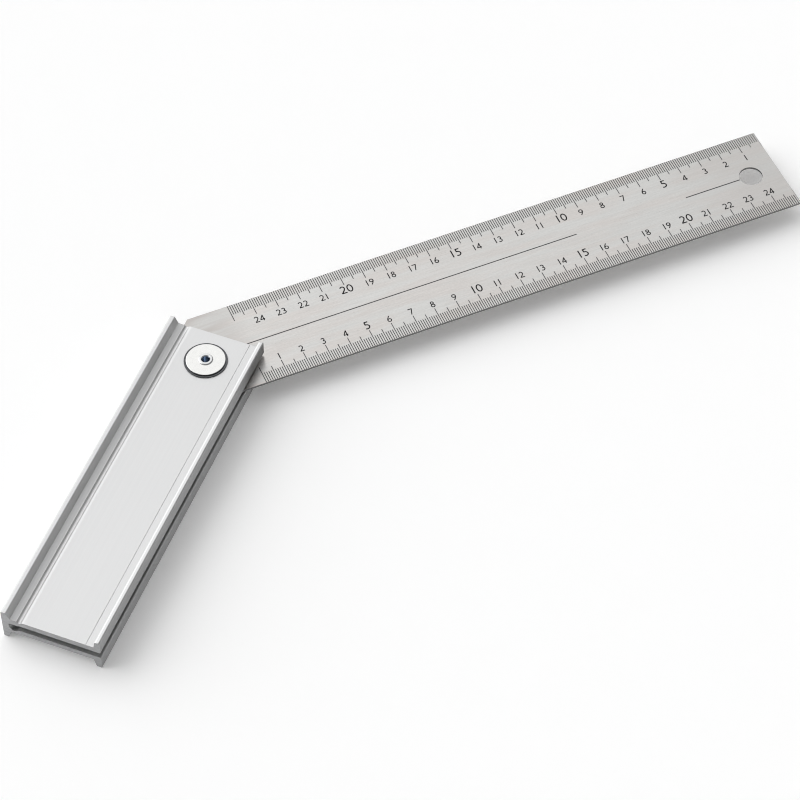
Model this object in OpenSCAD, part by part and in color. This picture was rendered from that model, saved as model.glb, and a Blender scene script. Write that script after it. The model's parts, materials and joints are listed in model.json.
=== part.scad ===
// Adjustable set square: a flat steel rule that swings out of a slotted aluminium stock.
// The blade lies along +X with its scaled face up, and the stock's feet stand on z = 0.
// The origin is the middle of the whole tool's bounding box, on the surface it lies on.

/* [Pose] */
// Angle between the stock and the blade as drawn, in degrees
open_angle = 135; // [95:1:150]

/* [Blade] */
// Length from the pivot to the blade's square end
blade_reach = 270; // [180:1:500]
// Width of the blade
blade_w = 45; // [40:0.5:60]
// Thickness of the blade
blade_t = 1; // [0.6:0.1:2]
// Distance from the pivot to the blade's near edge, which is also the radius of its root
blade_back = 17.85; // [14:0.05:18]
// Radius of the two corners at the square end
tip_round = 0.6; // [0.2:0.1:5]
// Diameter of the hole that the tool hangs by
hang_hole_d = 10.4; // [5:0.1:16]
// Distance from the square end to the centre of the hanging hole
hang_hole_inset = 12.85; // [10:0.05:30]

/* [Stock] */
// Length of the stock
stock_len = 162; // [120:1:260]
// Width across the stock's two side faces
stock_w = 42.6; // [41:0.1:60]
// Height over the stock's rims and feet
stock_h = 16.6; // [14:0.1:24]
// Height of the slot that the blade swings in
slot_h = 3.2; // [2.8:0.1:5]
// Thickness of the web above the slot
web_t = 2.8; // [1.8:0.05:3.5]
// Thickness of the web below the slot
low_web_t = 2.5; // [2.1:0.05:3]
// Least thickness of the closed side behind the slot
back_wall = 2.9; // [2.4:0.05:4.4]
// Distance from the pivot to the stock's square end next to the blade
pivot_to_head = 14.7; // [12:0.1:30]
// Distance from the pivot to the side face with the open slot
pivot_to_mouth = 19.95; // [17:0.05:24]
// Radius of the long outer edges of rims and feet
edge_round = 0.5; // [0.1:0.05:0.6]
// Radius of the two edges of the slot's mouth
mouth_round = 0.5; // [0.1:0.05:0.6]

/* [Rims and feet] */
// Width of the rim beside the slot's mouth, at its top
mouth_rim_tip = 2.1; // [1.6:0.1:3]
// Width of the rim beside the slot's mouth, where it leaves the web
mouth_rim_root = 2.8; // [2.2:0.1:4]
// Fall of that rim's top towards the pivot
mouth_rim_fall = 0.4; // [0.1:0.1:1]
// Width of the foot beside the slot's mouth, at its bottom
mouth_foot_tip = 2.3; // [1.6:0.1:3]
// Width of the foot beside the slot's mouth, where it leaves the web
mouth_foot_root = 3.4; // [2.4:0.1:4.5]
// Width of the rim on the closed side, at its top
back_rim_tip = 2.2; // [1.6:0.1:3.4]
// Width of the rim on the closed side, where it leaves the web
back_rim_root = 3.65; // [2.8:0.05:4.5]
// How far the rim on the closed side ends below the other one
back_rim_fall = 0.6; // [0.1:0.1:1]
// Radius of that rim's upper edge on its inner side
back_rim_round = 0.45; // [0.1:0.05:0.6]
// Width of the foot on the closed side, at its bottom
back_foot_tip = 2.2; // [1.6:0.1:3]
// Width of the foot on the closed side, where it leaves the web
back_foot_root = 3.7; // [2.8:0.1:4.5]

/* [Grooves] */
// Distance from the closed side face to the middle of the round-bottomed relief groove
groove_inset = 7.6; // [7:0.05:9]
// Width of the relief groove
groove_w = 2.4; // [1.9:0.1:3]
// Depth of the relief groove
groove_depth = 0.9; // [0.5:0.05:0.95]
// Width over which the web's face rolls off to the relief groove
shoulder_w = 1.1; // [0.4:0.1:2]
// Fall of the web's face where it meets the relief groove
shoulder_fall = 0.12; // [0.02:0.02:0.2]
// Fall of the strip between the closed side and the relief groove
strip_fall = 0.25; // [0.05:0.05:0.4]
// Distance from the open side face to the fine guide line
line_inset = 6.15; // [4.5:0.05:9]
// Width of the fine guide line
line_w = 0.3; // [0.2:0.05:0.6]
// Depth of the fine guide line
line_depth = 0.15; // [0.1:0.05:0.4]
// Width of the slant at the foot of the slot's closed end
slot_bevel_w = 1.3; // [0.6:0.1:1.6]
// Height of the slant at the foot of the slot's closed end
slot_bevel_h = 2.2; // [1:0.1:2.4]
// Radius of the slot's upper corner at its closed end
slot_round = 0.8; // [0.2:0.1:1]
// Width over which the upper web is thicker at the slot's closed end
slot_step_w = 4; // [2:0.1:4.5]
// How far the upper web is thicker there
slot_step = 0.3; // [0.1:0.1:0.5]
// Width of the deepest part of the relief in the slot's floor
floor_relief_w = 0.9; // [0.4:0.1:1.5]
// Width over which the slot's floor falls to its relief
floor_relief_run = 2.8; // [1:0.1:3]
// Depth of the relief in the slot's floor
floor_relief_depth = 1.3; // [0.4:0.1:1.3]

/* [Pivot] */
// Diameter of the rivet's shank
shank_d = 6; // [4:0.1:8]
// Radial clearance between the blade's bore and the shank
running_clearance = 0.06; // [0.02:0.01:0.1]
// Radial clearance of the shank in the stock, discs and washers
seat_clearance = 0.1; // [0.05:0.01:0.2]
// Diameter of the plated cover disc
cover_d = 16.8; // [12:0.1:20]
// Thickness of the cover disc
cover_t = 0.55; // [0.4:0.05:1.2]
// Radius of the cover disc's upper edge
cover_round = 0.3; // [0.1:0.05:0.35]
// Diameter of the spring washer under the cover disc
spring_d = 18.4; // [13:0.1:22]
// Thickness of the spring washer
spring_t = 0.4; // [0.3:0.05:1]
// Diameter of the rivet's rolled rim
rim_d = 6.4; // [6:0.1:9]
// Height of the rolled rim over the cover disc
rim_rise = 0.45; // [0.2:0.05:0.6]
// Diameter of the hollow in the rivet's end
hollow_d = 3.2; // [2:0.1:3.6]
// Width of the hollow's flared mouth
hollow_mouth_d = 3.9; // [3.7:0.1:4.6]
// Depth of the hollow below the cover disc's face
hollow_depth = 3.5; // [1:0.1:8]
// Diameter of the rivet's head under the stock
head_d = 10; // [8:0.1:14]
// Height of the head's straight edge
head_edge = 0.5; // [0.3:0.1:1]
// Height of the head's low dome
head_dome = 0.9; // [0.3:0.1:1.2]
// Diameter of the backing washer under the stock
backing_d = 14; // [11:0.1:20]
// Thickness of the backing washer
backing_t = 0.6; // [0.4:0.05:1.2]
// Diameter of the two friction washers in the slot
friction_d = 18; // [12:0.1:26]
// Gap between each friction washer and the blade
friction_gap = 0.05; // [0.02:0.01:0.1]

/* [Hidden] */
$fn = 96;

// Named overrun of every cut
cut = 1;
// Steps of each rounded edge of the stock's section
round_steps = 6;

// Heights from the slot's middle plane
slot_top = slot_h / 2;
web_top = slot_top + web_t;
web_bottom = -slot_top - low_web_t;
rim_top = stock_h / 2;
blade_top = blade_t / 2;
spring_top = web_top + spring_t;
cover_top = spring_top + cover_t;
backing_bottom = web_bottom - backing_t;
head_bottom = backing_bottom - head_edge;

// Places across the stock, from the pivot, with the closed side positive
mouth_face = -pivot_to_mouth;
back_face = stock_w - pivot_to_mouth;
slot_end = back_face - back_wall;
groove_mid = back_face - groove_inset;
line_mid = mouth_face + line_inset;
bevel_start = slot_end - slot_bevel_w;
relief_deep = bevel_start - floor_relief_w;
relief_start = relief_deep - floor_relief_run;
relief_floor = -slot_top - floor_relief_depth;
groove_r = (pow(groove_w / 2, 2) + pow(groove_depth, 2)) / (2 * groove_depth);
web_turn = acos(1 - (groove_depth - shoulder_fall) / groove_r);
strip_turn = acos(1 - (groove_depth - strip_fall) / groove_r);
shoulder_start = groove_mid - groove_w / 2 - shoulder_w;
back_rim_top = rim_top - back_rim_fall;
back_rim_turn = 90 - atan((back_rim_root - back_rim_tip) / (back_rim_top - web_top));
back_rim_mid = back_face - back_rim_tip + back_rim_round * tan(back_rim_turn / 2);
step_top = slot_top - slot_step;
step_start = slot_end - slot_step_w;

// Places along the stock, from the pivot, with the head positive
stock_tail = pivot_to_head - stock_len;

// The blade's outline round the pivot: its far edge, and the cut that lies along the stock
stock_angle = 180 - open_angle;
blade_far = blade_w - blade_back;
cut_len = (blade_far - blade_back * cos(stock_angle)) / sin(stock_angle);
cut_start = [-blade_back * sin(stock_angle), blade_back * cos(stock_angle)];
cut_end = [cut_start[0] + cut_len * cos(stock_angle), blade_far];

// Bounding box of the open tool, which places the origin
corners = [for (x = [stock_tail, pivot_to_head], y = [mouth_face, back_face])
           [x * cos(stock_angle) - y * sin(stock_angle), x * sin(stock_angle) + y * cos(stock_angle)]];
x_low = min([for (c = corners) c[0]]);
x_high = max(blade_reach, max([for (c = corners) c[0]]));
y_low = min(-blade_back, min([for (c = corners) c[1]]));
y_high = max(blade_far, max([for (c = corners) c[1]]));
pivot_pos = [-(x_low + x_high) / 2, -(y_low + y_high) / 2, stock_h / 2];

friction_t = slot_top - blade_top - friction_gap;
bead_r = (rim_d - hollow_mouth_d) / 4;
bead_mid = (rim_d + hollow_mouth_d) / 4;
dome_r = (pow(head_d / 2, 2) + pow(head_dome, 2)) / (2 * head_dome);

// Puts a piece that is drawn round the pivot into the tool's frame
module at_pivot() translate(pivot_pos) children();

// A flat ring round the pivot, from height z upwards
module ring(outer_d, thickness, z)
  translate([0, 0, z])
    difference() {
      cylinder(d = outer_d, h = thickness);
      translate([0, 0, -cut]) cylinder(d = shank_d + 2 * seat_clearance, h = thickness + 2 * cut);
    }

// Points of an arc of the section, angles counted from +x
function bend(x, y, r, from, to) =
  [for (i = [0 : round_steps])
    let (turn = from + (to - from) * i / round_steps) [x + r * cos(turn), y + r * sin(turn)]];

// Cross-section of the stock: across in x, up in y
module stock_section()
  polygon(concat(
    bend(mouth_face + edge_round, rim_top - edge_round, edge_round, 180, 90),
    [
      [mouth_face + mouth_rim_tip, rim_top - mouth_rim_fall],
      [mouth_face + mouth_rim_root, web_top],
      [line_mid - line_w / 2, web_top],
      [line_mid, web_top - line_depth],
      [line_mid + line_w / 2, web_top],
      [shoulder_start, web_top]
    ],
    bend(groove_mid, web_top - groove_depth + groove_r, groove_r, 270 - web_turn, 270 + strip_turn),
    [
      [back_face - back_rim_root, web_top]
    ],
    bend(back_rim_mid, back_rim_top - back_rim_round, back_rim_round, 90 + back_rim_turn, 90),
    bend(back_face - edge_round, back_rim_top - edge_round, edge_round, 90, 0),
    bend(back_face - edge_round, -rim_top + edge_round, edge_round, 0, -90),
    [
      [back_face - back_foot_tip, -rim_top],
      [back_face - back_foot_root, web_bottom],
      [mouth_face + mouth_foot_root, web_bottom],
      [mouth_face + mouth_foot_tip, -rim_top]
    ],
    bend(mouth_face + edge_round, -rim_top + edge_round, edge_round, -90, -180),
    bend(mouth_face + mouth_round, -slot_top - mouth_round, mouth_round, 180, 90),
    [
      [relief_start, -slot_top],
      [relief_deep, relief_floor],
      [bevel_start, relief_floor],
      [slot_end, relief_floor + slot_bevel_h]
    ],
    bend(slot_end - slot_round, step_top - slot_round, slot_round, 0, 90),
    [
      [step_start, step_top],
      [step_start - slot_step, slot_top]
    ],
    bend(mouth_face + mouth_round, slot_top + mouth_round, mouth_round, 270, 180)
  ));

// The slotted stock: one aluminium extrusion with square ends
module stock()
  color([0.88, 0.89, 0.89])
    at_pivot()
      rotate([0, 0, stock_angle])
        difference() {
          translate([stock_tail, 0, 0])
            rotate([90, 0, 90]) linear_extrude(stock_len) stock_section();
          translate([0, 0, -rim_top]) cylinder(d = shank_d + 2 * seat_clearance, h = stock_h);
        }

// The blade: a steel rule with a round root, a cut along the stock and a hanging hole
module blade()
  color([0.78, 0.77, 0.76])
    at_pivot()
      translate([0, 0, -blade_top])
        difference() {
          linear_extrude(blade_t)
            union() {
              polygon([
                [0, 0],
                [0, -blade_back],
                [blade_reach - tip_round, -blade_back],
                [blade_reach - tip_round, blade_far],
                cut_end,
                cut_start
              ]);
              translate([blade_reach - 2 * tip_round, -blade_back + tip_round])
                square([2 * tip_round, blade_w - 2 * tip_round]);
              translate([blade_reach - tip_round, -blade_back + tip_round]) circle(r = tip_round);
              translate([blade_reach - tip_round, blade_far - tip_round]) circle(r = tip_round);
              circle(r = blade_back);
            }
          translate([0, 0, -cut]) cylinder(d = shank_d + 2 * running_clearance, h = blade_t + 2 * cut);
          translate([blade_reach - hang_hole_inset, blade_far - blade_w / 2, -cut])
            cylinder(d = hang_hole_d, h = blade_t + 2 * cut);
        }

// The semi-tubular rivet: domed head below, shank through everything, rolled rim on top
module pivot_rivet()
  color([0.62, 0.63, 0.66])
    at_pivot()
      rotate_extrude()
        difference() {
          union() {
            translate([0, backing_bottom]) square([shank_d / 2, cover_top - backing_bottom]);
            translate([0, head_bottom]) square([head_d / 2, head_edge]);
            intersection() {
              translate([0, head_bottom - head_dome + dome_r]) circle(r = dome_r, $fn = 4 * $fn);
              translate([0, head_bottom - head_dome]) square([head_d / 2, head_dome]);
            }
            translate([0, cover_top]) square([bead_mid, rim_rise]);
            intersection() {
              translate([bead_mid, cover_top + rim_rise - bead_r]) circle(r = bead_r);
              translate([bead_mid, cover_top]) square([bead_r, rim_rise]);
            }
          }
          translate([0, cover_top - hollow_depth]) square([hollow_d / 2, hollow_depth + rim_rise + cut]);
          polygon([
            [0, cover_top],
            [hollow_d / 2, cover_top],
            [hollow_mouth_d / 2, cover_top + rim_rise],
            [hollow_mouth_d / 2, cover_top + rim_rise + cut],
            [0, cover_top + rim_rise + cut]
          ]);
        }

// The plated cover disc with its rounded edge
module cover_disc()
  color([0.96, 0.96, 0.95])
    at_pivot()
      rotate_extrude()
        translate([shank_d / 2 + seat_clearance, spring_top])
          union() {
            square([cover_d / 2 - cover_round - shank_d / 2 - seat_clearance, cover_t]);
            square([cover_d / 2 - shank_d / 2 - seat_clearance, cover_t - cover_round]);
            translate([cover_d / 2 - cover_round - shank_d / 2 - seat_clearance, cover_t - cover_round])
              intersection() {
                circle(r = cover_round);
                square([cover_round, cover_round]);
              }
          }

// The spring washer that presses on the stock
module spring_washer() color([0.4, 0.41, 0.43]) at_pivot() ring(spring_d, spring_t, web_top);

// The friction washers that carry the blade in the slot
module upper_friction_washer()
  color([0.2, 0.2, 0.2]) at_pivot() ring(friction_d, friction_t, slot_top - friction_t);

module lower_friction_washer()
  color([0.2, 0.2, 0.2]) at_pivot() ring(friction_d, friction_t, -slot_top);

// The washer between the stock's underside and the rivet's head
module backing_washer() color([0.7, 0.71, 0.72]) at_pivot() ring(backing_d, backing_t, backing_bottom);

stock();
blade();
pivot_rivet();
cover_disc();
spring_washer();
upper_friction_washer();
lower_friction_washer();
backing_washer();
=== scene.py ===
"""Adjustable set square: materials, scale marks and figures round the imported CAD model.

Everything is in metres, in the CAD model's own frame: the blade lies along +X with its scaled
face up, and the stock's feet stand on z = 0.
"""

import json
import math

import bpy
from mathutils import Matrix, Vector


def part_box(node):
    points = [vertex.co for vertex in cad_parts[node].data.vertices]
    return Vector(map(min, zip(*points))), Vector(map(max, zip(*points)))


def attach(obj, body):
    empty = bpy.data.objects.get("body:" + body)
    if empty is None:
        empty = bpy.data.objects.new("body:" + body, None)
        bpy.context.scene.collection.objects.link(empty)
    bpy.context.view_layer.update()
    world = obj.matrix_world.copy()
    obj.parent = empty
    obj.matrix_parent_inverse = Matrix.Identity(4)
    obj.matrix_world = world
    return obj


MM = 0.001
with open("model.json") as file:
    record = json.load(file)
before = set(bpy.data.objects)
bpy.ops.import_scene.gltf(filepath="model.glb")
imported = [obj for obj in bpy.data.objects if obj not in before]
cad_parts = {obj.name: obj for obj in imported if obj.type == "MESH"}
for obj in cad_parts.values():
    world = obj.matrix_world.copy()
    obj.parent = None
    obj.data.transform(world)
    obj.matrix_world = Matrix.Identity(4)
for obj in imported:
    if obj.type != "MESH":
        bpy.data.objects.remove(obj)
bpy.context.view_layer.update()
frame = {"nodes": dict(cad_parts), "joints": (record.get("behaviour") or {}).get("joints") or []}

# ---- Camera: solved from the blade's own millimetre scale in the photograph
CAMERA_PLACE = Vector((-0.33114331, -0.76291609, 1.05037240))
CAMERA_TURN = (38.4073, 0.2711, -23.3843)
CAMERA_LENS = 144.71855
CAMERA_SENSOR = 36.0
PIXEL_FILTER = 1.1

# ---- Blade and scale, in millimetres from the bottom scale's 0 mark and the near edge
blade_low, blade_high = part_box("blade")
SCALE_LEN = 250
SCALE_X = blade_high.x - SCALE_LEN * MM
FACE_Z = blade_high.z
BLADE_W = (blade_high.y - blade_low.y) / MM
MARK_WIDTH = 0.35
MARK_RISE = 0.02
MARK_SINK = 0.02
MARK_LENGTHS = {"mm": 5.3, "half": 7.25, "cm": 8.75}
EDGE_GAP = 0.04
BOTTOM_FIGURES_Y = 9.55
TOP_FIGURES_Y = 31.55
FIGURE_SMALL = 3.25
FIGURE_LARGE = 4.15
STROKE_SHARE = 0.14
RING_SHARE = 0.01
LINE_WIDTH = 0.46
LINE_Y = 22.5
LINE_PARTS = ((0.2, 152.9), (205.5, 231.7))
MARK_LOW = FACE_Z - MARK_SINK * MM
MARK_HIGH = FACE_Z + MARK_RISE * MM

# ---- Stock: its direction, the direction across it, and the pivot's place across it
STOCK_TURN = 45.0
STOCK_AXIS = (math.cos(math.radians(STOCK_TURN)), math.sin(math.radians(STOCK_TURN)), 0.0)
STOCK_SIDE = (-STOCK_AXIS[1], STOCK_AXIS[0], 0.0)
PIVOT = frame["joints"][0]["pos_m"]
PIVOT_SIDE = PIVOT[0] * STOCK_SIDE[0] + PIVOT[1] * STOCK_SIDE[1]
UP = (0, 0, 1)
LENGTHWISE = (1, 0, 0)
CROSSWISE = (0, 1, 0)

# ---- Colours, linear with alpha. A pair runs from the darker to the lighter
SKIN = ((0.60, 0.602, 0.605, 1), (0.66, 0.662, 0.662, 1))
# The anodised skin's colour where shade is painted on it
SHADED_SKIN = (0.42, 0.423, 0.425, 1)
# Sawn ends' colour, darkened by painted shade
SAWN_SHADED = ((0.36, 0.365, 0.37, 1), (0.50, 0.502, 0.505, 1))
WARM_STEEL = ((0.485, 0.466, 0.45, 1), (0.628, 0.606, 0.587, 1))
COOL_STEEL = ((0.49, 0.488, 0.478, 1), (0.63, 0.628, 0.615, 1))
# Steel darkened by painted shade
SHADED_STEEL = (0.455, 0.447, 0.437, 1)
STAIN = (0.44, 0.405, 0.385, 1)
# The blade's edge faces, painted dark as shade
EDGE_SHADE = ((0.13, 0.13, 0.135, 1), (0.26, 0.26, 0.26, 1))
NICKEL = ((0.63, 0.63, 0.62, 1), (0.70, 0.70, 0.685, 1))
# The cover disc's sloping edge, painted dark as shade
DISC_EDGE_SHADE = (0.13, 0.132, 0.14, 1)
RIVET_PLATING = ((0.54, 0.545, 0.55, 1), (0.64, 0.645, 0.65, 1))
# The rivet's hollow middle, painted darker and bluer as shade in the recess
RIVET_HOLLOW_SHADE = (0.36, 0.42, 0.50, 1)
SPRING_STEEL = ((0.05, 0.052, 0.056, 1), (0.12, 0.122, 0.128, 1))
ZINC = ((0.55, 0.56, 0.57, 1), (0.66, 0.67, 0.67, 1))
NYLON = ((0.02, 0.02, 0.022, 1), (0.06, 0.06, 0.064, 1))
FIGURE_BLACK = ((0.008, 0.008, 0.009, 1), (0.022, 0.022, 0.024, 1))
LINE_GREY = ((0.04, 0.04, 0.042, 1), (0.08, 0.08, 0.082, 1))
PAPER = ((0.965, 0.965, 0.965, 1), (0.98, 0.98, 0.98, 1))
WHITE = (1, 1, 1, 1)


# ---- Mesh helpers
def prism(verts, faces, outline, low, high):
    """Adds the closed prism over a convex outline, given anticlockwise, between two heights."""
    base, n = len(verts), len(outline)
    verts.extend((x, y, low) for x, y in outline)
    verts.extend((x, y, high) for x, y in outline)
    faces.append(tuple(base + i for i in reversed(range(n))))
    faces.append(tuple(base + n + i for i in range(n)))
    for i in range(n):
        j = (i + 1) % n
        faces.append((base + i, base + j, base + n + j, base + n + i))


def piece(name, verts, faces, look, body):
    """Makes a mesh object that rides on a body."""
    mesh = bpy.data.meshes.new(name)
    mesh.from_pydata(verts, [], faces)
    mesh.validate()
    mesh.materials.append(look)
    obj = bpy.data.objects.new(name, mesh)
    bpy.context.scene.collection.objects.link(obj)
    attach(obj, body)


def on_blade(x, y):
    """Scale coordinates in millimetres to the CAD model's frame."""
    return SCALE_X + x * MM, blade_low.y + y * MM


def bar(verts, faces, x0, x1, y0, y1):
    """A flat bar on the blade's face, in scale millimetres."""
    corners = ((x0, y0), (x1, y0), (x1, y1), (x0, y1))
    prism(verts, faces, [on_blade(*corner) for corner in corners], MARK_LOW, MARK_HIGH)


# ---- Figures: centre lines of the strokes, in shares of the figure's height
def arc(cx, cy, rx, ry, start, end, steps=14):
    """Points of an elliptical arc, angles in degrees."""
    turn = [math.radians(start + (end - start) * i / steps) for i in range(steps + 1)]
    return [(cx + rx * math.cos(a), cy + ry * math.sin(a)) for a in turn]


SIX_WIDTH = 0.60
SIX = [
    arc(0.30, 0.29, 0.235, 0.23, 0, 360, 24),
    [(0.44, 0.985), (0.33, 0.86), (0.22, 0.70), (0.13, 0.54), (0.075, 0.40), (0.065, 0.29)],
]
# Each figure's width and strokes
FIGURES = {
    "0": (0.64, [arc(0.32, 0.5, 0.26, 0.44, 0, 360, 28)]),
    "1": (0.12, [[(0.06, 0), (0.06, 1)]]),
    "2": (0.62, [
        arc(0.28, 0.69, 0.225, 0.25, 152, -28) + [(0.40, 0.42), (0.06, 0.05)],
        [(0.04, 0.06), (0.62, 0.06)],
    ]),
    "3": (0.54, [
        arc(0.23, 0.735, 0.195, 0.205, 148, -90),
        arc(0.21, 0.295, 0.265, 0.235, 90, -138),
    ]),
    "4": (0.64, [
        [(0.47, 0), (0.47, 1)],
        [(0.46, 0.93), (0.06, 0.30)],
        [(0.02, 0.27), (0.64, 0.27)],
    ]),
    "5": (0.56, [
        [(0.50, 0.94), (0.10, 0.94)],
        [(0.13, 0.97), (0.13, 0.56)],
        arc(0.20, 0.33, 0.29, 0.27, 104, -128, 16),
    ]),
    "6": (SIX_WIDTH, SIX),
    "7": (0.62, [[(0.02, 0.94), (0.60, 0.94)], [(0.555, 0.97), (0.24, 0)]]),
    "8": (0.60, [
        arc(0.30, 0.75, 0.19, 0.19, 0, 360, 24),
        arc(0.30, 0.285, 0.235, 0.225, 0, 360, 24),
    ]),
    "9": (SIX_WIDTH, [[(SIX_WIDTH - x, 1 - y) for x, y in stroke] for stroke in SIX]),
}
# Places of a number's figures, in shares of the height from its mark: a single figure, pairs by
# their first figure, and the pairs with places of their own
SINGLE = (0.035,)
PAIRS = {"1": (-0.19, 0.47), "2": (-0.36, 0.38)}
OWN_PLACES = {"11": (-0.22, 0.40), "21": (-0.41, 0.27)}


def stroke(verts, faces, points, x, y, size, half):
    """Adds a stroke of constant width along points, as one closed strip of short prisms. Where
    its ends meet, it is a ring."""
    path = [(x + px * size, y + py * size) for px, py in points]
    ring = math.dist(path[0], path[-1]) < RING_SHARE * size
    if ring:
        path = path[:-1]
    count = len(path)
    sides = []
    for i, here in enumerate(path):
        before = path[i - 1] if ring or i else here
        after = path[(i + 1) % count] if ring or i < count - 1 else here
        dx, dy = after[0] - before[0], after[1] - before[1]
        length = math.hypot(dx, dy)
        nx, ny = -dy / length * half, dx / length * half
        sides.append(((here[0] + nx, here[1] + ny), (here[0] - nx, here[1] - ny)))
    base = len(verts)
    for left, right in sides:
        for px, py in (left, right):
            verts.append((*on_blade(px, py), MARK_LOW))
            verts.append((*on_blade(px, py), MARK_HIGH))
    for i in range(count if ring else count - 1):
        a, b = base + 4 * i, base + 4 * ((i + 1) % count)
        faces.append((a + 1, a + 3, b + 3, b + 1))
        faces.append((a, b, b + 2, a + 2))
        faces.append((a, a + 1, b + 1, b))
        faces.append((a + 2, b + 2, b + 3, a + 3))
    if not ring:
        z = base + 4 * (count - 1)
        faces.append((base, base + 2, base + 3, base + 1))
        faces.append((z, z + 1, z + 3, z + 2))


def number(verts, faces, text, mark, y):
    """Writes a number over its mark: the fives and tens are larger."""
    size = FIGURE_LARGE if int(text) % 5 == 0 else FIGURE_SMALL
    pair = OWN_PLACES.get(text) or PAIRS.get(text[0])
    for digit, place in zip(text, SINGLE if len(text) == 1 else pair):
        width, strokes = FIGURES[digit]
        x = mark + (place - width / 2) * size
        for points in strokes:
            stroke(verts, faces, points, x, y, size, STROKE_SHARE * size / 2)


# ---- Node helpers
def add(tree, kind, inputs=None, **settings):
    """Adds a node, sets its properties, and sets or links its inputs. Returns the node."""
    made = tree.nodes.new(kind)
    for key, value in settings.items():
        setattr(made, key, value)
    for key, value in (inputs or {}).items():
        if isinstance(value, bpy.types.NodeSocket):
            tree.links.new(value, made.inputs[key])
        else:
            made.inputs[key].default_value = value
    return made


def sums(tree, operation, first, second=0.0, third=0.0, clamp=False):
    """One Math node's output."""
    values = {0: first, 1: second, 2: third}
    made = add(tree, "ShaderNodeMath", values, operation=operation, use_clamp=clamp)
    return made.outputs[0]


def total(tree, *parts):
    """Sum of values, each times its weight."""
    result = 0.0
    for value, weight in parts:
        result = sums(tree, "MULTIPLY_ADD", value, weight, result)
    return result


def mix(tree, share, first, second):
    """Colour between two colours."""
    made = add(tree, "ShaderNodeMix", {0: share, 6: first, 7: second}, data_type="RGBA")
    return made.outputs[2]


def spread(tree, value, low, high, new_low=0.0, new_high=1.0):
    """Maps a value from one range to another, clamped."""
    inputs = {0: value, 1: low, 2: high, 3: new_low, 4: new_high}
    return add(tree, "ShaderNodeMapRange", inputs).outputs[0]


def up_to(tree, value, low, high):
    """A mask: 1 where the value is under low, falling to 0 at high."""
    return spread(tree, value, low, high, 1.0, 0.0)


def noise(tree, vector, scale, detail=3.0):
    """Grey noise of a vector."""
    inputs = {"Vector": vector, "Scale": scale, "Detail": detail, "Roughness": NOISE_ROUGHNESS}
    return add(tree, "ShaderNodeTexNoise", inputs).outputs[0]


def own_place(tree):
    """Object coordinates."""
    return add(tree, "ShaderNodeTexCoord").outputs["Object"]


def vector_math(tree, operation, *values):
    """One Vector Math node."""
    return add(tree, "ShaderNodeVectorMath", dict(enumerate(values)), operation=operation)


def grained(tree, cells, detail, turn=0.0):
    """Noise with so many cells a metre along three axes, which are turned about Z by degrees."""
    inputs = {"Vector": own_place(tree), "Angle": math.radians(turn)}
    turned = add(tree, "ShaderNodeVectorRotate", inputs, rotation_type="Z_AXIS").outputs[0]
    return noise(tree, vector_math(tree, "MULTIPLY", turned, cells).outputs[0], 1.0, detail)


def turned_space(tree, vector, kind, source, target):
    """A vector or normal taken from one space to another."""
    return add(tree, "ShaderNodeVectorTransform", {0: vector}, vector_type=kind,
               convert_from=source, convert_to=target).outputs[0]


def object_normal(tree):
    """The surface's true normal in object space."""
    normal = add(tree, "ShaderNodeNewGeometry").outputs["True Normal"]
    return turned_space(tree, normal, "NORMAL", "WORLD", "OBJECT")


def along(tree, vector, direction):
    """Dot product of a vector with a fixed direction."""
    return vector_math(tree, "DOT_PRODUCT", vector, direction).outputs["Value"]


def material(name, **constants):
    """A new material and its Principled shader, with constants set on the shader's own sockets."""
    made = bpy.data.materials.new(name)
    made.use_nodes = True
    shader = made.node_tree.nodes["Principled BSDF"]
    for key, value in constants.items():
        shader.inputs[key.replace("_", " ")].default_value = value
    return made, made.node_tree, shader


def finish_shader(tree, shader, colour, rough, height, depth, edge=0.0):
    """Links colour, roughness, a bump of the given depth, and softened edges."""
    tree.links.new(colour, shader.inputs["Base Color"])
    tree.links.new(rough, shader.inputs["Roughness"])
    bump = add(tree, "ShaderNodeBump", {"Strength": 1.0, "Distance": depth, "Height": height})
    if edge:
        soft = add(tree, "ShaderNodeBevel", {"Radius": edge}, samples=BEVEL_SAMPLES)
        tree.links.new(soft.outputs[0], bump.inputs["Normal"])
    tree.links.new(bump.outputs[0], shader.inputs["Normal"])


# ---- Materials. A noise runs from dark to light between the values of NOISE_RANGE or
# STEEL_RANGE. CELLS are a noise's cells a metre, or its cells a metre along, across and up
NOISE_ROUGHNESS = 0.55
BEVEL_SAMPLES = 6
NOISE_RANGE = (0.3, 0.7)
STEEL_RANGE = (0.35, 0.65)

DIE_LINE_CELLS = (5, 1500, 1500)
STOCK_BROAD_CELLS = (6, 60, 60)
STOCK_GRAIN_CELLS = 5200
STOCK_CLOUD_CELLS = 38
SAW_CELLS = (300, 220, 5200)
END_NORMAL = (0.9, 0.95)
UPWARD_NORMAL = (0.6, 0.9)
# Places across the stock, in metres from the pivot, where shade is painted: the mouth rim, the
# outer side beyond it, and the strip behind the groove, in the closed rim's shadow
MOUTH_RIM = (-18.6 * MM, -18.3 * MM)
OUTER_SIDE = (-19.6 * MM, -19.4 * MM)
STRIP_START = (16.2 * MM, 16.5 * MM)
STRIP_END = (20.2 * MM, 20.5 * MM)
# How far painted shade darkens the tops and the outer side
TOP_SHADE = 0.62
SIDE_SHADE = 0.9
STOCK_ROUGH = (0.46, 0.54)
SAWN_ROUGHER = 0.12
STOCK_DEPTH = 0.006 * MM
STOCK_EDGE = 0.12 * MM


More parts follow.
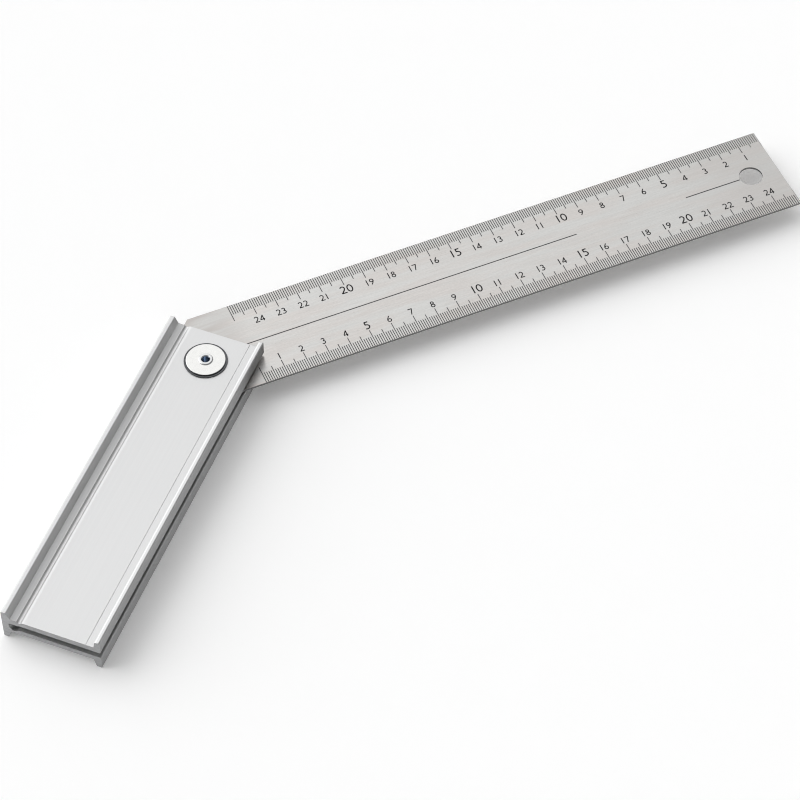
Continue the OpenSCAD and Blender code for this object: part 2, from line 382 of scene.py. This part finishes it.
def anodised():
    """Satin natural anodised aluminium: die lines along the extrusion, fine grain, sawn ends,
    painted shade.
    """
    made, tree, shader = material("anodised_satin", Metallic=1.0)
    die_lines = grained(tree, DIE_LINE_CELLS, 4.0, -STOCK_TURN)
    broad = grained(tree, STOCK_BROAD_CELLS, 2.0, -STOCK_TURN)
    saw = grained(tree, SAW_CELLS, 3.0, -STOCK_TURN)
    grain = noise(tree, own_place(tree), STOCK_GRAIN_CELLS, 2.0)
    cloud = noise(tree, own_place(tree), STOCK_CLOUD_CELLS)
    normal = object_normal(tree)
    ends = spread(tree, sums(tree, "ABSOLUTE", along(tree, normal, STOCK_AXIS)), *END_NORMAL)
    tone = total(tree, (die_lines, 0.35), (grain, 0.3), (broad, 0.175), (cloud, 0.175))
    skin = mix(tree, spread(tree, tone, *NOISE_RANGE), *SKIN)
    # Sawn ends: real saw marks, in a colour darkened by painted shade
    sawn_shaded = mix(tree, spread(tree, saw, *NOISE_RANGE), *SAWN_SHADED)
    # Painted shade: the tops of the mouth rim and of the strip behind the groove, and the outer
    # side, are darkened
    sideways = sums(tree, "SUBTRACT", along(tree, own_place(tree), STOCK_SIDE), PIVOT_SIDE)
    strip = spread(tree, sideways, *STRIP_START)
    strip = sums(tree, "MULTIPLY", strip, up_to(tree, sideways, *STRIP_END))
    upward = spread(tree, along(tree, normal, UP), *UPWARD_NORMAL)
    tops = sums(tree, "ADD", up_to(tree, sideways, *MOUTH_RIM), strip)
    tops = sums(tree, "MULTIPLY", tops, upward)
    side = up_to(tree, sideways, *OUTER_SIDE)
    side = sums(tree, "MULTIPLY", side, sums(tree, "SUBTRACT", 1.0, upward))
    painted_shade = total(tree, (tops, TOP_SHADE), (side, SIDE_SHADE))
    colour = mix(tree, ends, mix(tree, painted_shade, skin, SHADED_SKIN), sawn_shaded)
    rough = spread(tree, tone, *NOISE_RANGE, *STOCK_ROUGH)
    rough = sums(tree, "MULTIPLY_ADD", ends, SAWN_ROUGHER, rough)
    height = total(tree, (die_lines, 0.5), (grain, 0.5))
    height = add(tree, "ShaderNodeMix", {0: ends, 2: height, 3: saw}).outputs[0]
    finish_shader(tree, shader, colour, rough, height, STOCK_DEPTH, STOCK_EDGE)
    return made


SCRATCH_CELLS = (110, 4200, 4200)
STREAK_CELLS = (60, 1000, 1000)
SHORT_GRAIN_CELLS = (900, 2600, 2600)
BLADE_BROAD_CELLS = (7, 60, 60)
TINT_CELLS = (26, 200, 200)
EDGE_SHADE_CELLS = (3000, 3000, 400)
# The stained root's ragged end, and the stretch before the square end, along the blade; painted
# shade darkens both
ROOT_END = (SCALE_X + 14 * MM, SCALE_X + 30 * MM)
TIP_START = (SCALE_X + 195 * MM, SCALE_X + 235 * MM)
RAGGED = 0.05
ROOT_TINT = 0.06
STAIN_RANGE = (0.42, 0.6)
# How far painted shade darkens the root and the stretch before the square end
ROOT_SHADE = 0.45
TIP_SHADE = 0.4
FLAT_NORMAL = (0.7, 0.8)
BLADE_ROUGH = (0.27, 0.36)
GROUND_ROUGHER = 0.1
BLADE_DEPTH = 0.004 * MM
BLADE_EDGE = 0.1 * MM


def brushed():
    """Brushed stainless steel: scratches and short grain along the blade, warm and cool streaks, a
    stained root, and painted shade at the ends and on the edge faces.
    """
    made, tree, shader = material("brushed_stainless", Metallic=1.0, Anisotropic=0.55)
    fine = grained(tree, SCRATCH_CELLS, 3.0)
    streaks = grained(tree, STREAK_CELLS, 3.0)
    grain = grained(tree, SHORT_GRAIN_CELLS, 2.0)
    broad = grained(tree, BLADE_BROAD_CELLS, 2.0)
    tint = grained(tree, TINT_CELLS, 3.0)
    tone = total(tree, (fine, 0.3), (streaks, 0.25), (broad, 0.15), (grain, 0.3))
    share = spread(tree, tone, *STEEL_RANGE)
    # The root is stained in streaks; painted shade darkens the root near the stock and the last
    # stretch before the square end
    lengthwise = along(tree, own_place(tree), LENGTHWISE)
    ragged = sums(tree, "MULTIPLY_ADD", tint, RAGGED, lengthwise)
    root = up_to(tree, ragged, *ROOT_END)
    tip = spread(tree, lengthwise, *TIP_START)
    stain = spread(tree, sums(tree, "MULTIPLY_ADD", root, ROOT_TINT, tint), *STAIN_RANGE)
    face = mix(tree, stain, mix(tree, share, *COOL_STEEL), mix(tree, share, *WARM_STEEL))
    face = mix(tree, sums(tree, "MULTIPLY", stain, root), face, STAIN)
    face = mix(tree, total(tree, (root, ROOT_SHADE), (tip, TIP_SHADE)), face, SHADED_STEEL)
    upright = sums(tree, "ABSOLUTE", along(tree, object_normal(tree), UP))
    rim = up_to(tree, upright, *FLAT_NORMAL)
    # Painted shade: the edge faces are painted dark grey for the shadowed floor they reflect
    shaded_edge = mix(tree, grained(tree, EDGE_SHADE_CELLS, 3.0), *EDGE_SHADE)
    rough = spread(tree, tone, *STEEL_RANGE, *BLADE_ROUGH)
    rough = sums(tree, "MULTIPLY_ADD", rim, GROUND_ROUGHER, rough)
    height = total(tree, (fine, 0.6), (streaks, 0.4))
    colour = mix(tree, rim, face, shaded_edge)
    finish_shader(tree, shader, colour, rough, height, BLADE_DEPTH, BLADE_EDGE)
    across = turned_space(tree, CROSSWISE, "VECTOR", "OBJECT", "WORLD")
    tree.links.new(across, shader.inputs["Tangent"])
    return made


HAZE_CELLS = 700
PLATING_GRAIN_CELLS = 4200
HOLLOW_END = (1.65 * MM, 1.85 * MM)
EDGE_SLOPE = (0.75, 0.93)
PLATING_EDGE = 0.08 * MM


def turned_metal(name, colours, rough, rings_per_metre, depth, hollow_shade=None, edge=None):
    """Metal turned or pressed round the pivot: faint rings, haze and fine marks, and painted shade
    in colours of its own on a hollow middle and on a sloping edge."""
    made, tree, shader = material(name, Metallic=1.0)
    away = vector_math(tree, "SUBTRACT", own_place(tree), PIVOT).outputs[0]
    flat = vector_math(tree, "MULTIPLY", away, (1, 1, 0)).outputs[0]
    radius = vector_math(tree, "LENGTH", flat).outputs["Value"]
    ring_place = {0: sums(tree, "MULTIPLY", radius, rings_per_metre)}
    rings = noise(tree, add(tree, "ShaderNodeCombineXYZ", ring_place).outputs[0], 1.0)
    haze = noise(tree, away, HAZE_CELLS, 4.0)
    grain = noise(tree, away, PLATING_GRAIN_CELLS, 2.0)
    tone = total(tree, (rings, 0.4), (haze, 0.35), (grain, 0.25))
    colour = mix(tree, spread(tree, tone, *STEEL_RANGE), *colours)
    # Painted shade: the hollow middle is painted darker and bluer than the plating round it
    if hollow_shade:
        colour = mix(tree, up_to(tree, radius, *HOLLOW_END), colour, hollow_shade)
    if edge:
        # Painted shade: the sloping edge is painted dark, for the dark surroundings it mirrors
        edge_shade_mask = up_to(tree, along(tree, object_normal(tree), UP), *EDGE_SLOPE)
        colour = mix(tree, edge_shade_mask, colour, edge)
    polish = spread(tree, tone, *STEEL_RANGE, *reversed(rough))
    finish_shader(tree, shader, colour, polish, tone, depth, PLATING_EDGE)
    return made


NYLON_GRAIN_CELLS = 3000
NYLON_ROUGH = (0.45, 0.6)
NYLON_DEPTH = 0.01 * MM


def nylon():
    """Black nylon washer with a moulded grain."""
    made, tree, shader = material("black_nylon", Metallic=0.0, IOR=1.5)
    grain = noise(tree, own_place(tree), NYLON_GRAIN_CELLS)
    rough = spread(tree, grain, *NOISE_RANGE, *NYLON_ROUGH)
    finish_shader(tree, shader, mix(tree, grain, *NYLON), rough, grain, NYLON_DEPTH)
    return made


ETCHED_GRAIN_CELLS = 2600
ETCHED_ROUGH = (0.5, 0.65)
ETCHED_DEPTH = 0.003 * MM


def etched(name, colours):
    """Dark etched marks, slightly uneven."""
    made, tree, shader = material(name, Metallic=0.0, IOR=1.45, Specular_IOR_Level=0.2)
    grain = noise(tree, own_place(tree), ETCHED_GRAIN_CELLS)
    colour = mix(tree, spread(tree, grain, *NOISE_RANGE), *colours)
    rough = spread(tree, grain, *NOISE_RANGE, *ETCHED_ROUGH)
    finish_shader(tree, shader, colour, rough, grain, ETCHED_DEPTH)
    return made


LOOKS = {
    "stock": anodised(),
    "blade": brushed(),
    "cover_disc": turned_metal(
        "bright_nickel", NICKEL, rough=(0.10, 0.17), rings_per_metre=2600, depth=0.002 * MM,
        edge=DISC_EDGE_SHADE),
    "pivot_rivet": turned_metal(
        "plated_rivet", RIVET_PLATING, rough=(0.14, 0.24), rings_per_metre=2200,
        depth=0.003 * MM, hollow_shade=RIVET_HOLLOW_SHADE),
    "spring_washer": turned_metal(
        "spring_steel", SPRING_STEEL, rough=(0.2, 0.3), rings_per_metre=2400,
        depth=0.003 * MM),
    "backing_washer": turned_metal(
        "zinc_plate", ZINC, rough=(0.28, 0.4), rings_per_metre=1500, depth=0.004 * MM),
}
LOOKS["upper_friction_washer"] = LOOKS["lower_friction_washer"] = nylon()
for node_name, look in LOOKS.items():
    mesh = frame["nodes"][node_name].data
    mesh.materials.clear()
    mesh.materials.append(look)

# ---- Scale marks, figures and centre line
figure_black = etched("etched_black", FIGURE_BLACK)
line_grey = etched("etched_grey", LINE_GREY)
marks_v, marks_f = [], []
for step in range(SCALE_LEN + 1):
    long = MARK_LENGTHS["cm" if step % 10 == 0 else "half" if step % 5 == 0 else "mm"]
    left = step - MARK_WIDTH / 2
    right = min(step + MARK_WIDTH / 2, SCALE_LEN - EDGE_GAP)
    bar(marks_v, marks_f, left, right, EDGE_GAP, long)
    bar(marks_v, marks_f, left, right, BLADE_W - long, BLADE_W - EDGE_GAP)
piece("scale_marks", marks_v, marks_f, line_grey, "blade")

figures_v, figures_f = [], []
for centimetre in range(1, SCALE_LEN // 10):
    from_root, from_tip = centimetre * 10, SCALE_LEN - centimetre * 10
    number(figures_v, figures_f, str(centimetre), from_root, BOTTOM_FIGURES_Y)
    number(figures_v, figures_f, str(centimetre), from_tip, TOP_FIGURES_Y)
piece("scale_figures", figures_v, figures_f, figure_black, "blade")

line_v, line_f = [], []
for start, end in LINE_PARTS:
    bar(line_v, line_f, start, end, LINE_Y - LINE_WIDTH / 2, LINE_Y + LINE_WIDTH / 2)
piece("centre_line", line_v, line_f, line_grey, "blade")

# ---- Floor and backdrop, in metres. The lifts are light of their own, seen by the camera and in
# metal or glass, which makes the paper whiter than the dome's light does
FLOOR_RADIUS = 9.0
FLOOR_DROP = 0.03 * MM
FLOOR_SIDES = 96
FLOOR_LIFT = 0.11
BACKDROP_HEIGHT = 1.0
BACKDROP_LIFT = 0.35
PAPER_CELLS = 60


def paper(name, lift):
    """Matt white paper with a light of its own of the given strength."""
    made, tree, shader = material(
        name, Roughness=0.9, Specular_IOR_Level=0.0, Emission_Color=WHITE)
    fibres = noise(tree, own_place(tree), PAPER_CELLS, 2.0)
    tree.links.new(mix(tree, fibres, *PAPER), shader.inputs["Base Color"])
    rays = add(tree, "ShaderNodeLightPath").outputs
    seen = sums(tree, "ADD", rays["Is Camera Ray"], rays["Is Glossy Ray"])
    seen = sums(tree, "ADD", seen, rays["Is Transmission Ray"], clamp=True)
    tree.links.new(sums(tree, "MULTIPLY", seen, lift), shader.inputs["Emission Strength"])
    return made


bpy.ops.mesh.primitive_circle_add(
    vertices=FLOOR_SIDES, radius=FLOOR_RADIUS, fill_type="NGON", location=(0, 0, -FLOOR_DROP))
floor = bpy.context.object
floor.name = "floor"
floor.data.materials.append(paper("pale_floor", FLOOR_LIFT))
bpy.ops.mesh.primitive_cylinder_add(
    vertices=FLOOR_SIDES, radius=FLOOR_RADIUS, depth=BACKDROP_HEIGHT, end_fill_type="NOTHING",
    location=(0, 0, BACKDROP_HEIGHT / 2 - FLOOR_DROP))
backdrop = bpy.context.object
backdrop.name = "backdrop"
backdrop.data.materials.append(paper("pale_backdrop", BACKDROP_LIFT))

# ---- Light: an even dome with three soft lights on it. Each has the azimuth and height of its
# middle in degrees, the cosines of the angles where it ends and where it is full, and a strength
DOME_LEVEL = 0.3
BACK_LIGHT = ((107.0, 31.0), (0.28, 1.0), 1.2)
LOW_BOX = ((138.0, 28.0), (0.77, 0.82), 1.2)
TOP_LIGHT = ((298.0, 82.0), (0.95, 1.0), 0.35)

world = bpy.data.worlds.new("studio_dome")
world.use_nodes = True
bpy.context.scene.world = world
dome = world.node_tree
view_line = add(dome, "ShaderNodeTexCoord").outputs["Generated"]


def sky_direction(azimuth, height):
    """Direction of a place on the dome, from its azimuth and height in degrees."""
    azimuth, height = math.radians(azimuth), math.radians(height)
    level = math.cos(height)
    return math.cos(azimuth) * level, math.sin(azimuth) * level, math.sin(height)


def glow(side, edges, level):
    """Strength of a soft round light on the dome."""
    inputs = {0: along(dome, view_line, sky_direction(*side)), 1: edges[0], 2: edges[1], 4: level}
    return add(dome, "ShaderNodeMapRange", inputs, interpolation_type="SMOOTHSTEP").outputs[0]


strength = DOME_LEVEL
for light in (BACK_LIGHT, LOW_BOX, TOP_LIGHT):
    strength = sums(dome, "ADD", glow(*light), strength)
background = dome.nodes["Background"]
background.inputs["Color"].default_value = WHITE
dome.links.new(strength, background.inputs["Strength"])

# ---- Camera and colour
camera_data = bpy.data.cameras.new("camera")
camera_data.lens = CAMERA_LENS
camera_data.sensor_width = CAMERA_SENSOR
camera = bpy.data.objects.new("camera", camera_data)
camera.location = CAMERA_PLACE
camera.rotation_euler = [math.radians(a) for a in CAMERA_TURN]
bpy.context.scene.collection.objects.link(camera)
bpy.context.scene.camera = camera
bpy.context.scene.view_settings.view_transform = "Standard"
# A narrower pixel filter than the default keeps the fine marks apart
bpy.context.scene.cycles.filter_width = PIXEL_FILTER
